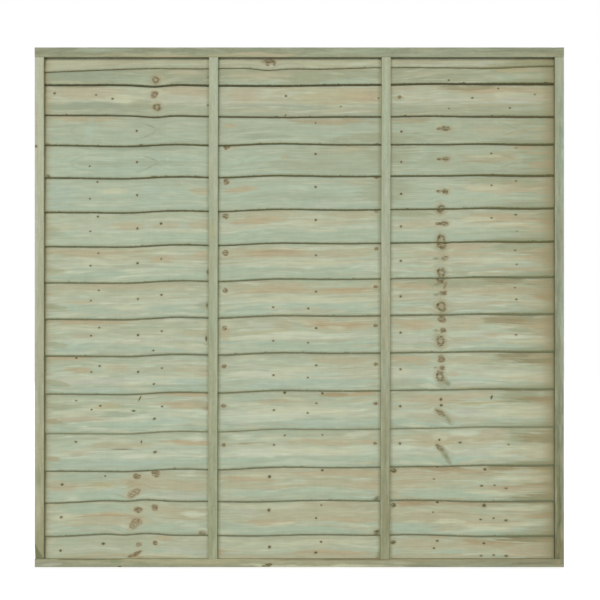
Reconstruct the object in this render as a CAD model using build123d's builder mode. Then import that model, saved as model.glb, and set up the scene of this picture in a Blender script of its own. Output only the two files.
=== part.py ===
from build123d import *
from math import atan, atan2, cos, sin
import os

# An overlap fence panel: thin lap boards held between a front and a rear frame of battens.
# Millimetres. The front looks along -Y, and the panel stands upright along +Z.
# The origin is on the outer edge of the front left stile, in the middle of that edge.

# The two frames, which are alike
panel_width = 1828
panel_height = 1795.5
batten_width = 32
batten_thickness = 15
top_rail_height = 34
bottom_rail_height = 29
bay_count = 3
arris = 1.2

# How far the head and the foot of each middle batten of the front stray from even bays
front_strays = ((3, 0), (1, -4))
rear_strays = ((0, 0), (0, 0))

# Bark left the outer foot of the front left stile short of wood
wane_height = 54
wane_depth = 9

# The lap boards, all sawn to one thickness
board_thickness = 5
overlap = 16
lap_clearance = 0.4
seat_clearance = 0.2
end_inset = 3
top_board_inset = 3
bottom_board_inset = 3

# The face of a board slopes back along its bark edge, where the log was round
bark_slope_height = 4
bark_slope_depth = 2.4

# How the boards share the height of the opening at mid-length, and how far the lower edge
# of each climbs from the left end to the right, from the top board down
show_parts = (
    37.5, 57.5, 108.5, 98, 110.5, 116.5, 117, 124, 127.5, 129, 131, 133.5, 132.5, 114.5, 118.5, 76.5,
)
board_climbs = (11.5, 6.5, -4, 6, 11.5, 17.5, 21.5, 24.5, 22.5, 19.5, 21.5, 28.5, 25, 1.5, -4.5, 0)

# The boards of one log share its bark line: the share of the length, and the height
# there over a straight edge
crown_line = (
    (0, -8), (0.06, -4.3), (0.14, 0.8), (0.22, 4), (0.3, 2.2), (0.38, 2.6), (0.41, 0.8), (0.437, -5),
    (0.47, -1.4), (0.53, -1.8), (0.6, 0.6), (0.72, 1.8), (0.8, -0.5), (0.86, -3), (0.94, 1.6), (1, 2),
)
knotty_line = (
    (0, 3), (0.1, 2), (0.17, 0.8), (0.205, -2.4), (0.226, -4.6), (0.25, -0.6), (0.3, 0),
    (0.4, -2.8), (0.48, -3.6), (0.58, -1.2), (0.68, -0.4), (0.75, 2.1), (0.82, 0.4), (0.88, -0.7), (1, -0.8),
)
long_line = (
    (0, 1.4), (0.07, -0.8), (0.13, -3), (0.18, -4.1), (0.23, 0.1), (0.28, 1.7), (0.35, -2.6), (0.4, 0.4),
    (0.45, 3.5), (0.54, 0.2), (0.64, -1.4), (0.73, -0.8), (0.78, -1.3), (0.84, 0.1), (0.89, -2.1), (1, -1.4),
)
foot_line = (
    (0, -7), (0.06, -5.3), (0.1, -1.3), (0.135, 1.6), (0.168, -1.2), (0.2, 3.7), (0.25, -0.4), (0.31, -1.6),
    (0.4, -3.6), (0.5, 0.7), (0.58, 1.4), (0.64, -0.4), (0.7, 2.3), (0.77, 0.5), (0.81, -2.2), (0.89, -3.6),
    (1, -0.9),
)
bark_lines = (crown_line,) + (knotty_line,) * 2 + (long_line,) * 10 + (foot_line,) * 3

# Heights, from the underside up
underside = -panel_height / 2
opening_foot = underside + bottom_rail_height
opening_head = underside + panel_height - top_rail_height
opening_height = opening_head - opening_foot
board_shows = [opening_height * part / sum(show_parts) for part in show_parts]
board_count = len(board_shows)
board_length = panel_width - 2 * end_inset


# The lower edge of each board, then its upper edge, as a height at mid-length and a climb
lower_edges = []
for number, climb in enumerate(board_climbs):
    shown_above = sum(board_shows[:number + 1])
    lower_edges.append((opening_head - shown_above, climb))
bark_depth = -min(over for share, over in bark_lines[-1])
foot_rise = abs(board_climbs[-1]) / 2
lower_edges[-1] = (underside + bottom_board_inset + bark_depth + foot_rise, board_climbs[-1])

top_board_head = underside + panel_height - top_board_inset - abs(board_climbs[0]) / 2
upper_edges = [(top_board_head, board_climbs[0])]
for height, climb in lower_edges[:-1]:
    upper_edges.append((height + overlap, climb))


def edge_height(edge, share):
    """The height of a straight edge at a share of its length."""
    middle, climb = edge
    return middle + climb * (share - 0.5)


def drops(number):
    """The drop from a board's upper edge to each point of its bark line."""
    points = []
    for share, over in bark_lines[number]:
        lower = edge_height(lower_edges[number], share) + over
        points.append((share, edge_height(upper_edges[number], share) - lower))
    return points


# A board leans from the rear frame at its upper edge to the front frame at its lip.
# The tightest lap says how deep the space between the frames has to be.
longest_drops = [max(drop for share, drop in drops(number)) for number in range(board_count)]
lean_shares = []
for number in range(board_count - 1):
    steps = [
        edge_height(upper_edges[number], end) - edge_height(upper_edges[number + 1], end)
        for end in (0, 1)
    ]
    at_next_head = min(steps) / longest_drops[number]
    at_own_lip = (min(steps) + overlap) / longest_drops[number] - overlap / longest_drops[number + 1]
    lean_shares += [at_next_head, at_own_lip]
lean_depth = (board_thickness + lap_clearance) / min(lean_shares)
board_space = board_thickness + lean_depth + 2 * seat_clearance

# Depths, from the front to the rear
front_face = -batten_thickness / 2
front_frame_back = front_face + batten_thickness
rear_frame_front = front_frame_back + board_space
rear_frame_back = rear_frame_front + batten_thickness
board_back = rear_frame_front - seat_clearance

# Where the middle battens stand when the bays are even
bay_width = (panel_width - (bay_count + 1) * batten_width) / bay_count
batten_pitch = bay_width + batten_width


def long_edges(piece):
    """The edges that run along a batten, which are the ones to ease."""
    return piece.edges().filter_by(lambda edge: edge.length > 2 * batten_width)


def upright(head_x, foot_x):
    """The front outline of a batten between the rails."""
    return [
        (foot_x, opening_foot),
        (foot_x + batten_width, opening_foot),
        (head_x + batten_width, opening_head),
        (head_x, opening_head),
    ]


def rail(foot_z, height):
    """The front outline of a rail across the whole panel."""
    return [(0, foot_z), (panel_width, foot_z), (panel_width, foot_z + height), (0, foot_z + height)]


def frame_outlines(strays):
    """The front outline of each piece of a frame, by name."""
    right_x = panel_width - batten_width
    outlines = {
        "top_rail": rail(opening_head, top_rail_height),
        "bottom_rail": rail(underside, bottom_rail_height),
        "left_stile": upright(0, 0),
        "right_stile": upright(right_x, right_x),
    }
    for number in range(1, bay_count):
        head_stray, foot_stray = strays[min(number, len(strays)) - 1]
        even_x = number * batten_pitch
        outlines[f"batten_{number}"] = upright(even_x + head_stray, even_x + foot_stray)
    return outlines


# The slanting facet at the outer foot of the front left stile, which cuts its front face
# from the outer edge to the inner foot
wane_top = Vector(0, front_face, opening_foot + wane_height)
wane_inner = Vector(batten_width, front_face, opening_foot)
wane_back = Vector(0, front_face + wane_depth, opening_foot)
wane_plane = Plane(origin=wane_top, z_dir=(wane_inner - wane_top).cross(wane_back - wane_top))

os.makedirs("parts", exist_ok=True)

# The lap boards
for number in range(board_count):
    lean = atan(lean_depth / longest_drops[number])
    turn = atan2(upper_edges[number][1], board_length)
    board_plane = Plane(
        origin=(end_inset, board_back, edge_height(upper_edges[number], 0)),
        x_dir=(cos(turn), 0, sin(turn)),
        z_dir=(-sin(lean) * sin(turn), -cos(lean), sin(lean) * cos(turn)),
    )
    bark_points = [(share * board_length, -drop / cos(lean)) for share, drop in drops(number)]
    with BuildPart() as board:
        with BuildSketch(board_plane):
            with BuildLine():
                Line((0, 0), bark_points[0])
                Spline(*bark_points)
                Line(bark_points[-1], (board_length, 0))
                Line((board_length, 0), (0, 0))
            make_face()
        extrude(amount=board_thickness)
        front = board.faces().filter_by(board_plane).sort_by(Axis.Y)[0]
        bark_edge = front.edges().filter_by(GeomType.BSPLINE)
        chamfer(bark_edge, bark_slope_height, bark_slope_depth, reference=front)
    board.part.label = f"board_{number + 1:02d}"
    export_step(board.part, f"parts/{board.part.label}.step")

# The front and rear frames
frames = (("front", front_frame_back, front_strays), ("rear", rear_frame_back, rear_strays))
for side, back_y, strays in frames:
    for name, outline in frame_outlines(strays).items():
        with BuildPart() as batten:
            with BuildSketch(Plane.XZ.offset(-back_y)):
                with BuildLine():
                    Polyline(*outline, close=True)
                make_face()
            extrude(amount=batten_thickness)
            chamfer(long_edges(batten), arris)
            if (side, name) == ("front", "left_stile"):
                split(bisect_by=wane_plane, keep=Keep.TOP)
        batten.part.label = f"{side}_{name}"
        export_step(batten.part, f"parts/{batten.part.label}.step")

print(f"height {panel_height}, board space {board_space:.2f}, thickness {rear_frame_back - front_face:.2f}")
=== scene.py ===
import random
from bisect import bisect_right
from math import radians

import bmesh
import bpy
from mathutils import Matrix, Vector, noise


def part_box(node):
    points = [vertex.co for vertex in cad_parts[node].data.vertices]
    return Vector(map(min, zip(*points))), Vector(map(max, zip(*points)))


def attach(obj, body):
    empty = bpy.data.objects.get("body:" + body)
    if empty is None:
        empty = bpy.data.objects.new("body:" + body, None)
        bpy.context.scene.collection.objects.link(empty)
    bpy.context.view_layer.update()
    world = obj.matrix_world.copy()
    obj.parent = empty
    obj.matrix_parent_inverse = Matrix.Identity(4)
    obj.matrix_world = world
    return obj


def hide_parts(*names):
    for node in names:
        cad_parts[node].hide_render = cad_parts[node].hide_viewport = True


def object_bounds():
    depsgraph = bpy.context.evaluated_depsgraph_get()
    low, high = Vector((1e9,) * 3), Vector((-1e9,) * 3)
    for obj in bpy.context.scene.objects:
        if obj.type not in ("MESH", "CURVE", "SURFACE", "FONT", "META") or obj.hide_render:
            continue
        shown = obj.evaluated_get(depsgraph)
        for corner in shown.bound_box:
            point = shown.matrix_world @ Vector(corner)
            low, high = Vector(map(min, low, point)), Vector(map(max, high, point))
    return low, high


# An overlap fence panel: green pressure-treated lap boards with waney bark edges, held
# between a front and a rear frame of sawn battens. Metres, in the part's own frame.
# Along is measured from the panel's left edge, and above from a board's own bark edge.

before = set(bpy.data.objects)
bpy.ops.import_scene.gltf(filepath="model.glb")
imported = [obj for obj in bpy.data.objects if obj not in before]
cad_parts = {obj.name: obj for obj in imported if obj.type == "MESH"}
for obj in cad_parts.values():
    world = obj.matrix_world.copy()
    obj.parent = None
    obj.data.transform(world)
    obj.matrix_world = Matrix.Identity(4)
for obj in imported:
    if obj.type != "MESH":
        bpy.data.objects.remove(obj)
cad_low, cad_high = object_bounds()
mm = 0.001

# The camera stands square to the panel's front
camera_place = (0.9162, -4.0075, 0.0253)
sensor_width = 36
picture_width = 2.0712
camera_to_front = 4.0

# Plain soft light: an even surround, and a soft lamp in front and behind
surround_light = 0.47
lamp_strength = 1.95
lamp_height = 15
lamp_aside = -5
lamp_softness = 26
floor_half = 9.0
floor_grey = 0.45
floor_lift = 0.75

# The lap boards and their finer mesh
board_numbers = range(1, 17)
board_columns = 330
board_rows = 13
row_crowding = 1.5
board_thickness = 5 * mm
end_zone = 5 * mm
wane_reach = 6 * mm
wane_cut = 2.6 * mm
bark_chips = 1.3 * mm
long_chip = 35 * mm
short_chip = 9 * mm
plane_wear = 0.5 * mm
wear_length = 220 * mm
wear_height = 35 * mm
wane_wave = 50 * mm
lap_heart = Vector((0, 50 * mm, -100 * mm))

# Sawn frame pieces
cut_spacing = 18 * mm
saw_loss = 0.22 * mm
saw_wander = 0.3 * mm
wander_length = 70 * mm
dent_depth = 0.9 * mm
dent_length = 24 * mm
dent_from = 0.45
batten_heart = Vector((0, 30 * mm, -20 * mm))
growth_ring = 1.6 * mm
late_growth = (0.7 * mm, 1.5 * mm)

# The wood of the frame: how far its bands reach, how high up the sides of a face have
# their own tones, and how warm and how patchy it is
frame_reach = 1.9
foot_fade = (0.05, 0.3)
frame_warmth = 0.3
frame_patchiness = 0.35

# Nails through the rear frame
nail_below_head = 26 * mm
nail_margin = 10 * mm
rail_nail_shares = (0.01, 0.17, 0.335, 0.5, 0.665, 0.83, 0.99)
nail_head = 2.6 * mm
nail_sunk = 0.6 * mm
nail_sides = 12

# Tones of the treated timber, as they look in plain light
tones = {
    "sage": (168, 179, 151),
    "teal": (166, 180, 155),
    "blue": (168, 183, 164),
    "lilac": (181, 184, 165),
    "cream": (191, 193, 163),
    "white": (195, 202, 177),
    "tan": (175, 171, 141),
    "salmon": (177, 168, 139),
    "orange": (178, 166, 133),
    "ochre": (174, 169, 131),
    "rust": (163, 147, 112),
    "brown": (148, 141, 108),
    "umber": (138, 130, 94),
    "olive": (156, 160, 130),
    "shade": (150, 159, 134),
    "moss": (124, 136, 100),
    "split": (104, 98, 66),
    "late wood": (154, 150, 120),
    "green stain": (142, 146, 114),
    "damp": (136, 139, 106),
    "brown stain": (142, 132, 96),
    # painted shade on the boards beside the uprights
    "upright shade": (134, 132, 98),
    "lap end": (150, 146, 112),
    "batten end": (148, 148, 116),
    "wane": (126, 130, 96),
}

# How much each pattern of the grain brightens the wood, over its darkest, and how ragged
# the knots are
line_contrast = 0.24
fibre_contrast = 0.24
cloud_contrast = 0.26
saw_contrast = 0.06
darkest_wood = 0.585
knot_raggedness = 1.4

# Where along the boards the stains beside the right stile start and are full, and the
# rust tone in the corners beside the left one
right_stain = (1.80, 2.02)
right_damp = (1.74, 1.9)
right_strip = (1.74, 1.80)
left_corner = (0.08, 0.05)


def light_of(colour, strength=1.0):
    """A tone in 0 to 255 as linear light, with a fourth number for how far it covers."""
    channels = [c / 255 for c in colour]
    linear = [c / 12.92 if c <= 0.04045 else ((c + 0.055) / 1.055) ** 2.4 for c in channels]
    return (*linear, strength)


# Small helpers for node trees

def put(tree, kind, settings=None, **inputs):
    """Adds a node. Settings are its options, and inputs its values or the sockets that feed it."""
    made = tree.nodes.new("ShaderNode" + kind)
    for name, value in (settings or {}).items():
        setattr(made, name, value)
    for name, value in inputs.items():
        feed(tree, made.inputs[name.replace("_", " ")], value)
    return made


def feed(tree, socket, value):
    """Links a socket, or sets it where a plain value is given."""
    if isinstance(value, bpy.types.NodeSocket):
        tree.links.new(value, socket)
    else:
        socket.default_value = value


def calculate(tree, operation, *values, clamp=False):
    """One Math node."""
    made = put(tree, "Math", {"operation": operation, "use_clamp": clamp})
    for socket, value in zip(made.inputs, values):
        feed(tree, socket, value)
    return made.outputs[0]


def on_vectors(tree, operation, *values):
    """One Vector Math node, with the output that its operation gives."""
    made = put(tree, "VectorMath", {"operation": operation})
    for socket, value in zip(made.inputs, values):
        feed(tree, socket, value)
    return made.outputs["Value"] if operation == "LENGTH" else made.outputs["Vector"]


def spread(tree, value, low, high, to_low=0.0, to_high=1.0):
    """Maps a range smoothly onto another, and holds its ends."""
    made = put(tree, "MapRange", {"interpolation_type": "SMOOTHSTEP"})
    for socket, given in zip(made.inputs, (value, low, high, to_low, to_high)):
        feed(tree, socket, given)
    return made.outputs["Result"]


def blend(tree, share, first, second, how="MIX"):
    """Mixes two colours."""
    made = put(tree, "Mix", {"data_type": "RGBA", "blend_type": how})
    for index, value in ((0, share), (6, first), (7, second)):
        feed(tree, made.inputs[index], value)
    return made.outputs[2]


def ramp(tree, value, stops, reach):
    """A colour ramp whose stops are a place, a tone and how far it covers."""
    made = put(tree, "ValToRGB", Fac=calculate(tree, "DIVIDE", value, reach))
    elements = made.color_ramp.elements
    while len(elements) < len(stops):
        elements.new(1.0)
    for element, (place, colour, strength) in zip(elements, stops):
        element.position = place / reach
        element.color = light_of(colour, strength)
    return made.outputs


def streaks(tree, place, length, width, seed, detail=2.0):
    """Noise about this long along the grain and this wide across it."""
    source = random.Random(seed)
    start = [source.uniform(-50, 50) for axis in range(3)]
    scaled = put(
        tree, "Mapping", Vector=place, Location=start, Scale=(1 / length, 1 / width, 1 / width)
    )
    return put(tree, "TexNoise", Vector=scaled.outputs[0], Scale=1.0, Detail=detail).outputs["Fac"]


def new_group(name, inputs, outputs):
    """A node group with these sockets, each a name and a kind."""
    tree = bpy.data.node_groups.new(name, "ShaderNodeTree")
    for direction, sockets in (("INPUT", inputs), ("OUTPUT", outputs)):
        for label, kind in sockets:
            tree.interface.new_socket(label, in_out=direction, socket_type="NodeSocket" + kind)
    given = tree.nodes.new("NodeGroupInput").outputs
    result = tree.nodes.new("NodeGroupOutput").inputs
    return tree, given, result


def use_group(tree, group, **inputs):
    """A node group in place, fed by name."""
    made = tree.nodes.new("ShaderNodeGroup")
    made.node_tree = group
    for name, value in inputs.items():
        feed(tree, made.inputs[name.replace("_", " ")], value)
    return made.outputs


# Patterns that the wood shares

def make_stroke_group():
    """A lens of another tone that lies along the grain, frayed by the fibres."""
    tree, given, result = new_group(
        "grain stroke",
        [("Place", "Vector"), ("Middle", "Vector"), ("Half", "Vector"), ("Fray", "Float"),
         ("Strength", "Float"), ("Wood", "Color"), ("Tone", "Color")],
        [("Wood", "Color")],
    )
    local = put(
        tree, "Mapping", {"vector_type": "TEXTURE"},
        Vector=given["Place"], Location=given["Middle"], Scale=given["Half"],
    )
    inside = calculate(tree, "SUBTRACT", 1.0, on_vectors(tree, "LENGTH", local.outputs[0]))
    frayed = calculate(tree, "SUBTRACT", inside, spread(tree, given["Fray"], 0.25, 0.75, -0.26, 0.32))
    share = calculate(tree, "MULTIPLY", spread(tree, frayed, -0.1, 0.45), given["Strength"])
    tree.links.new(blend(tree, share, given["Wood"], given["Tone"]), result["Wood"])
    return tree


def make_knot_group():
    """How near a knot is, counted in its own size, and how far it pushes the grain aside."""
    tree, given, result = new_group(
        "knot",
        [("Place", "Vector"), ("Middle", "Vector"), ("Size", "Vector"), ("Turn", "Vector"),
         ("Nearest", "Float"), ("Push", "Float")],
        [("Nearest", "Float"), ("Push", "Float")],
    )
    local = put(
        tree, "Mapping", {"vector_type": "TEXTURE"},
        Vector=given["Place"], Location=given["Middle"], Rotation=given["Turn"], Scale=given["Size"],
    )
    distance = on_vectors(tree, "LENGTH", local.outputs[0])
    nearest = calculate(tree, "MINIMUM", given["Nearest"], distance)
    offset = on_vectors(tree, "SUBTRACT", given["Place"], given["Middle"])
    rise = put(tree, "SeparateXYZ", Vector=offset).outputs["Y"]
    squeeze = spread(tree, distance, 0.4, 3.4, 0.85, 0.0)
    push = calculate(tree, "MULTIPLY_ADD", rise, squeeze, given["Push"])
    tree.links.new(nearest, result["Nearest"])
    tree.links.new(push, result["Push"])
    return tree


def make_grain_group():
    """Growth rings, fibres and saw marks of a sawn face, each from 0 to 1."""
    tree, given, result = new_group(
        "sawn grain",
        [("Place", "Vector"), ("Log", "Vector"), ("Push", "Float")],
        [("Flow", "Vector"), ("Rings", "Float"), ("Lines", "Float"), ("Fibres", "Float"),
         ("Saw", "Float")],
    )
    wander = calculate(tree, "SUBTRACT", streaks(tree, given["Log"], 0.4, 0.11, 1, 1.0), 0.5)
    lift = calculate(tree, "MULTIPLY", wander, 0.04)
    moved = calculate(tree, "SUBTRACT", lift, given["Push"])
    shift = put(tree, "CombineXYZ", Y=moved).outputs[0]
    flowing = on_vectors(tree, "ADD", given["Place"], shift)
    tree.links.new(flowing, result["Flow"])
    tree.links.new(streaks(tree, flowing, 1.3, 9 * mm, 2, 2.0), result["Rings"])
    tree.links.new(streaks(tree, flowing, 0.35, 3.2 * mm, 3, 2.0), result["Lines"])
    tree.links.new(streaks(tree, flowing, 0.09, 0.9 * mm, 4, 2.0), result["Fibres"])
    tree.links.new(streaks(tree, given["Place"], 5 * mm, 0.16, 5, 2.0), result["Saw"])
    return tree


grain_stroke = make_stroke_group()
knot = make_knot_group()
sawn_grain = make_grain_group()

# Each kind of knot from its middle outwards: the distance in its own size, a tone, and
# how far that tone covers the wood
knot_looks = {
    "pin": (
        (0, (72, 70, 42), 1), (0.5, (88, 84, 56), 0.95), (0.9, (128, 122, 92), 0.8),
        (1.3, (160, 156, 126), 0.5), (2.2, (176, 174, 146), 0),
    ),
    "ring": (
        (0, (158, 144, 110), 0.85), (0.35, (146, 130, 96), 0.85), (0.62, (110, 96, 62), 0.95),
        (0.9, (98, 88, 56), 0.95), (1.1, (136, 128, 94), 0.75), (1.35, (158, 148, 116), 0.6),
        (2.3, (166, 160, 130), 0),
    ),
    "disc": (
        (0, (112, 94, 60), 0.95), (0.45, (124, 106, 74), 0.95), (0.8, (118, 100, 68), 0.95),
        (1, (134, 118, 86), 0.85), (1.25, (176, 168, 136), 0.5), (2.1, (182, 178, 148), 0),
    ),
    "soft": (
        (0, (112, 97, 66), 0.95), (0.4, (108, 94, 62), 0.95), (0.8, (112, 98, 66), 0.95),
        (1.05, (146, 132, 100), 0.8), (1.35, (168, 158, 126), 0.55), (2.3, (176, 170, 140), 0),
    ),
    "dark": (
        (0, (74, 68, 36), 0.95), (0.6, (88, 80, 46), 0.95), (0.95, (112, 104, 70), 0.85),
        (1.2, (160, 152, 120), 0.4), (2, (170, 164, 132), 0),
    ),
    "striped": (
        (0, (160, 142, 110), 0.85), (0.28, (122, 102, 70), 0.9), (0.48, (158, 140, 108), 0.85),
        (0.72, (122, 102, 70), 0.9), (1, (152, 136, 104), 0.8), (1.3, (176, 168, 136), 0.5),
        (2.1, (176, 172, 142), 0),
    ),
    "line": ((0, (130, 126, 94), 0.65), (0.7, (138, 134, 102), 0.5), (1.3, (160, 158, 128), 0)),
    "arch": (
        (0, (150, 160, 132), 0), (0.9, (150, 160, 132), 0), (0.965, (146, 156, 128), 0.32),
        (1.0, (146, 156, 128), 0.32), (1.06, (150, 160, 132), 0),
    ),
    "stain": ((0, (120, 126, 92), 0.9), (0.6, (130, 134, 102), 0.75), (1.5, (160, 164, 136), 0)),
}
knot_reach = 2.4


def add_knots(tree, place, knots):
    """How near each kind of knot is, and the push of them all on the grain."""
    nearest = {}
    push = 0.0
    for kind, along, above, half_length, half_height, turn in knots:
        outputs = use_group(
            tree, knot, Place=place, Middle=(along * mm, above * mm, 0),
            Size=(half_length * mm, half_height * mm, 1), Turn=(0, 0, radians(turn)),
            Nearest=nearest.get(kind, 99.0), Push=push,
        )
        nearest[kind] = outputs["Nearest"]
        push = outputs["Push"] if kind != "arch" else push
    return nearest, push


def patchy_wood(tree, place, flow, colour, seed, warmth, patchy):
    """Soft streaky patches of greener, paler and warmer wood, fewer warm ones at the left."""
    along = put(tree, "SeparateXYZ", Vector=place).outputs["X"]
    warm = spread(tree, along, 0.4, 1.4, 0.5 * warmth, 1.3 * warmth)
    thin_warm = calculate(tree, "MULTIPLY", warm, 0.7)
    looks = (
        ("olive", 240, 22, 0.48, 0.4 * patchy), ("cream", 150, 18, 0.48, 0.7 * patchy),
        ("teal", 180, 15, 0.5, 0.5 * patchy), ("tan", 200, 16, 0.46, warm),
        ("orange", 220, 9, 0.52, thin_warm), ("white", 100, 11, 0.54, 0.7 * patchy),
    )
    for offset, (tone, length, height, begin, strength) in enumerate(looks, start=5):
        pattern = streaks(tree, flow, length * mm, height * mm, seed + offset)
        share = calculate(tree, "MULTIPLY", spread(tree, pattern, begin, begin + 0.2), strength)
        colour = blend(tree, share, colour, light_of(tones[tone]))
    return colour


def stroked_wood(tree, place, log_place, grain, colour, seed, strokes):
    """Strokes wander a little from their straight places, and break up into streaks."""
    sway = put(tree, "TexNoise", Vector=log_place, Scale=6.0, Detail=2.0).outputs["Color"]
    sway = on_vectors(tree, "SUBTRACT", sway, (0.5, 0.5, 0.5))
    sway = on_vectors(tree, "MULTIPLY", sway, (0.12, 0.03, 0))
    broken = streaks(tree, grain["Flow"], 60 * mm, 7 * mm, seed + 11)
    broken = calculate(tree, "MULTIPLY_ADD", broken, 0.7, -0.2)
    fray = calculate(tree, "MULTIPLY_ADD", grain["Lines"], 0.7, broken)
    swayed = on_vectors(tree, "ADD", place, sway)
    for tone, start, end, low, high, strength in strokes:
        thin = high - low < 4
        colour = use_group(
            tree, grain_stroke, Place=place if thin else swayed,
            Middle=((start + end) / 2 * mm, (low + high) / 2 * mm, 0),
            Half=((end - start) / 2 * mm, (high - low) / 2 * mm, 1),
            Fray=fray, Strength=strength, Wood=colour, Tone=light_of(tones[tone]),
        )["Wood"]
    return colour


def grained_wood(tree, grain, colour, seed):
    """Late wood stands out as thin warm lines, and the rest of the grain as light and dark."""
    late = spread(tree, grain["Rings"], 0.52, 0.72, 0, 0.22)
    colour = blend(tree, late, colour, light_of(tones["late wood"]))
    clouds = streaks(tree, grain["Flow"], 45 * mm, 13 * mm, seed + 12)
    value = darkest_wood
    for pattern, contrast in (
        (grain["Lines"], line_contrast), (grain["Fibres"], fibre_contrast),
        (clouds, cloud_contrast), (grain["Saw"], saw_contrast),
    ):
        value = calculate(tree, "MULTIPLY_ADD", pattern, contrast, value)
    return put(tree, "HueSaturation", Value=value, Color=colour).outputs[0]


def knotted_wood(tree, own_place, nearest, colour, seed):
    """The knots, which are ragged and streaked by the saw."""
    ragged = streaks(tree, own_place, 21 * mm, 16 * mm, seed + 1, 3.0)
    swirl = spread(tree, streaks(tree, own_place, 11 * mm, 3.5 * mm, seed + 2), 0.36, 0.56, 0.45, 1.0)
    for kind, distance in nearest.items():
        inside = calculate(tree, "SUBTRACT", distance, knot_raggedness / 2)
        rough = calculate(tree, "MULTIPLY_ADD", ragged, knot_raggedness, inside)
        look = ramp(tree, distance if kind == "arch" else rough, knot_looks[kind], knot_reach)
        share = look["Alpha"] if kind == "pin" else calculate(tree, "MULTIPLY", look["Alpha"], swirl)
        colour = blend(tree, share, colour, look["Color"])
    return colour


def wood_surface(tree, shader, place, base, strokes, knots, seed, warmth, patchy=1.0, depth=0.0):
    """Finishes a sawn face: patches, strokes of other tones, knots, grain and saw marks.

    The slow bends of the grain belong to the log, and the depth says where in it this face lies.
    """
    source = random.Random(seed)
    own_place = on_vectors(tree, "ADD", place, (source.uniform(-30, 30), 0, source.uniform(-30, 30)))
    log_place = on_vectors(tree, "ADD", place, (0, 0, depth))
    place = on_vectors(tree, "MULTIPLY", place, (1, 1, 0))
    nearest, push = add_knots(tree, place, knots)
    grain = use_group(tree, sawn_grain, Place=own_place, Log=log_place, Push=push)
    colour = patchy_wood(tree, place, grain["Flow"], base, seed, warmth, patchy)
    colour = stroked_wood(tree, place, log_place, grain, colour, seed, strokes)
    colour = grained_wood(tree, grain, colour, seed)
    colour = knotted_wood(tree, own_place, nearest, colour, seed)

    ridges = streaks(tree, own_place, 0.35, 2.6 * mm, seed + 3)
    height = calculate(tree, "MULTIPLY_ADD", grain["Saw"], 0.6, ridges)
    bump = put(tree, "Bump", Strength=0.45, Distance=0.45 * mm, Height=height)
    tree.links.new(colour, shader.inputs["Base Color"])
    tree.links.new(spread(tree, grain["Lines"], 0.25, 0.75, 0.72, 0.9), shader.inputs["Roughness"])
    tree.links.new(bump.outputs[0], shader.inputs["Normal"])
    return colour


def new_material(name):
    """A material, its nodes and its shader."""
    material = bpy.data.materials.new(name)
    material.use_nodes = True
    tree = material.node_tree
    shader = tree.nodes["Principled BSDF"]
    shader.inputs["Specular IOR Level"].default_value = 0.25
    return material, tree, shader


# Tones from the bark edge up, for each log that the boards were sawn from
# Board 1's tones lighten towards its head: painted light against the top rail's shadow
crown_bands = ((0, (172, 176, 149)), (18, (179, 181, 153)), (34, (184, 185, 154)))
grey_bands = ((0, (167, 173, 146)), (14, (152, 159, 132)), (52, (157, 161, 132)))
two_tone_bands = (
    (0, (161, 168, 143)), (38, (159, 166, 141)), (50, (180, 183, 158)), (105, (177, 179, 151)),
)
even_bands = ((0, (164, 176, 152)), (50, (166, 178, 154)), (98, (166, 174, 148)))
green_bands = (
    (0, (165, 178, 155)), (30, (167, 181, 158)), (62, (170, 184, 161)), (112, (168, 178, 153)),
)
warm_bands = (
    (0, (168, 182, 158)), (40, (168, 183, 160)), (52, (179, 188, 164)), (88, (174, 183, 157)),
    (120, (171, 179, 151)),
)
tan_bands = (
    (0, (168, 181, 158)), (40, (168, 183, 161)), (51, (182, 190, 166)), (88, (173, 181, 154)),
    (128, (171, 174, 145)),
)
bright_bands = (
    (0, (166, 180, 157)), (36, (166, 183, 161)), (47, (185, 195, 172)), (84, (176, 186, 161)),
    (132, (169, 178, 151)),
)
foot_bands = (
    (0, (166, 181, 158)), (38, (168, 182, 159)), (48, (174, 180, 153)), (115, (172, 177, 149)),
)
board_bands = (
    (crown_bands, grey_bands, two_tone_bands, even_bands) + (green_bands,) * 2
    + (warm_bands,) * 2 + (tan_bands,) * 2 + (bright_bands,) * 3 + (foot_bands,) * 3
)

# How stained the right end of each board is, and how patchy and how warm its wood
right_shades = (0.3, 0.4, 0.4, 0.6, 0.75, 0.65, 0.6, 0.55, 0.5, 0.5, 0.45, 0.4, 0.4, 0.5, 0.45, 0.5)
patchiness = (0.8, 0.6, 0.8, 0.4, 0.4, 0.5, 0.8, 1, 1, 1, 1, 1, 1, 0.9, 0.8, 0.8)
warmths = (0.6, 0.3, 0.6, 0.15, 0.1, 0.15, 0.3, 0.5, 0.6, 0.5, 0.4, 0.45, 0.35, 0.8, 0.7, 0.6)

# The bark left on the edge of each board: its tone, dark bark deepened with painted shade of the lap line,
# and how far up it reaches in mm
bark_and_lap_shade = (
    ((116, 112, 78), 2.5), ((68, 64, 34), 5.5), ((86, 80, 50), 4.1), ((88, 84, 48), 4.2),
    ((90, 86, 50), 4.5), ((94, 90, 54), 4.2), ((98, 96, 60), 4.2), ((110, 112, 78), 4.1),
    ((112, 114, 82), 4.8), ((112, 114, 82), 4.8), ((114, 116, 84), 4.6), ((130, 130, 98), 3.6),
    ((110, 112, 82), 4.8), ((110, 112, 84), 5), ((110, 112, 84), 5.1), ((104, 106, 76), 3),
)

# Where in its log each board lies, and how far its bands reach up and sway
log_starts = (1,) + (4,) * 2 + (7,) * 10 + (11,) * 3
log_step = 11 * mm
band_reach = 150 * mm
band_sway = 16 * mm

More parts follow.
